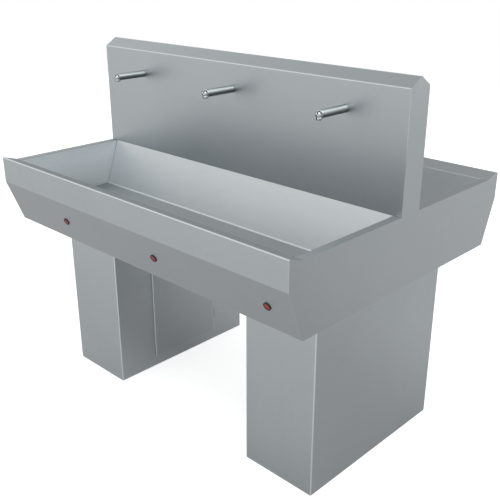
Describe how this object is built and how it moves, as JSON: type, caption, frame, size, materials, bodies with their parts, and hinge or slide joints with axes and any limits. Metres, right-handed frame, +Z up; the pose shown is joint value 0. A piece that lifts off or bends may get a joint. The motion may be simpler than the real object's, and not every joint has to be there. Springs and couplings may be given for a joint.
{
  "type": "double-sided wash trough",
  "caption": "Free-standing double-sided wash trough in satin stainless steel with a central gabled upstand, sensor taps on both sides and two plumbing pedestals.",
  "frame": {"origin": "on the floor, under the centre of the trough", "axes": "+X along the trough, towards the pedestal with the valves; -Y the front, +Y the rear; +Z up"},
  "size_m": [1.4, 1.08, 1.2776],
  "materials": {
    "steel_basin": "satin brushed stainless sheet, grain along the trough",
    "steel_casing": "satin brushed stainless sheet, grain along the trough",
    "steel_upstand": "satin brushed stainless sheet",
    "steel_pedestal": "satin brushed stainless sheet, grain upright",
    "steel_door": "satin brushed stainless sheet, grain upright",
    "chrome_lock": "satin chrome lock barrel",
    "steel_frame": "mill-finish stainless section",
    "steel_fastener": "plain stainless fasteners",
    "chrome_spout": "polished chrome-plated brass",
    "aerator": "satin chrome",
    "rubber_seal": "black rubber",
    "brass_valve": "machined brass",
    "solenoid": "brass body with moulded coil",
    "steel_pipe": "drawn stainless tube",
    "sensor_lens": "dark red infrared window",
    "sensor_housing": "black moulded bezel",
    "handle_knob": "moulded grip knob",
    "lever_hot": "dipped red lever",
    "lever_cold": "dipped blue lever",
    "control_box": "grey moulded enclosure",
    "waste_steel": "polished stainless waste and strainer",
    "drain_plastic": "white moulded waste pipe"
  },
  "bodies": {
    "trough": {"basin_front": "steel_basin", "basin_rear": "steel_basin", "basin_ends": "steel_basin", "apron_front": "steel_casing", "apron_rear": "steel_casing", "end_panel_left": "steel_casing", "end_panel_right": "steel_casing", "underside_panel": "steel_casing", "upstand_cover": "steel_upstand", "upstand_posts": "steel_frame", "frame_rails": "steel_frame", "bearers": "steel_frame", "frame_bolts": "steel_fastener", "pedestal_left": "steel_pedestal", "pedestal_right": "steel_pedestal", "hinge_pins": "steel_fastener", "spout_front_left": "chrome_spout", "spout_front_middle": "chrome_spout", "spout_front_right": "chrome_spout", "spout_rear_left": "chrome_spout", "spout_rear_middle": "chrome_spout", "spout_rear_right": "chrome_spout", "aerator_front_left": "aerator", "aerator_front_middle": "aerator", "aerator_front_right": "aerator", "aerator_rear_left": "aerator", "aerator_rear_middle": "aerator", "aerator_rear_right": "aerator", "spout_seals": "rubber_seal", "spout_backnuts": "brass_valve", "sensor_front_left": "sensor_housing", "sensor_front_middle": "sensor_housing", "sensor_front_right": "sensor_housing", "sensor_rear_left": "sensor_housing", "sensor_rear_middle": "sensor_housing", "sensor_rear_right": "sensor_housing", "sensor_lenses": "sensor_lens", "sensor_nuts": "sensor_housing", "supply_manifold": "steel_pipe", "solenoid_valves": "solenoid", "riser_pipes": "steel_pipe", "mixing_valve": "brass_valve", "isolation_valves": "brass_valve", "valve_bracket": "steel_frame", "control_box": "control_box", "waste_front": "waste_steel", "waste_rear": "waste_steel", "waste_seals": "rubber_seal", "waste_locknuts": "steel_fastener", "drain_pipe": "drain_plastic", "drain_trap": "drain_plastic"},
    "door_left": {"door_left": "steel_door"},
    "door_right": {"door_right": "steel_door"},
    "lock_left": {"lock_left": "chrome_lock"},
    "lock_right": {"lock_right": "chrome_lock"},
    "lever_hot": {"lever_hot": "lever_hot"},
    "lever_cold": {"lever_cold": "lever_cold"},
    "mixing_handle": {"mixing_handle": "handle_knob"},
    "strainer_front": {"strainer_front": "waste_steel"},
    "strainer_rear": {"strainer_rear": "waste_steel"}
  },
  "joints": [
    {"name": "door_left_swing", "type": "hinge", "parent": "trough", "child": "door_left", "pos_m": [-0.34, 0.167, 0.327], "axis": [0, 0, 1], "range_deg": [0, 100]},
    {"name": "door_right_swing", "type": "hinge", "parent": "trough", "child": "door_right", "pos_m": [0.34, 0.167, 0.327], "axis": [0, 0, -1], "range_deg": [0, 100]},
    {"name": "lock_left_turn", "type": "hinge", "parent": "door_left", "child": "lock_left", "pos_m": [-0.341, -0.133, 0.327], "axis": [1, 0, 0], "range_deg": [0, 90]},
    {"name": "lock_right_turn", "type": "hinge", "parent": "door_right", "child": "lock_right", "pos_m": [0.341, -0.133, 0.327], "axis": [1, 0, 0], "range_deg": [0, 90]},
    {"name": "lever_hot_turn", "type": "hinge", "parent": "trough", "child": "lever_hot", "pos_m": [0.5202, -0.086, 0.26], "axis": [-1, 0, 0], "range_deg": [0, 90]},
    {"name": "lever_cold_turn", "type": "hinge", "parent": "trough", "child": "lever_cold", "pos_m": [0.5202, 0.086, 0.26], "axis": [1, 0, 0], "range_deg": [0, 90]},
    {"name": "mixing_handle_turn", "type": "hinge", "parent": "trough", "child": "mixing_handle", "pos_m": [0.4987, 0, 0.45], "axis": [-1, 0, 0], "range_deg": [-60, 60]},
    {"name": "strainer_front_lift", "type": "slide", "parent": "trough", "child": "strainer_front", "axis": [0, 0, 1], "range_m": [0, 0.12]},
    {"name": "strainer_rear_lift", "type": "slide", "parent": "trough", "child": "strainer_rear", "axis": [0, 0, 1], "range_m": [0, 0.12]}
  ]
}
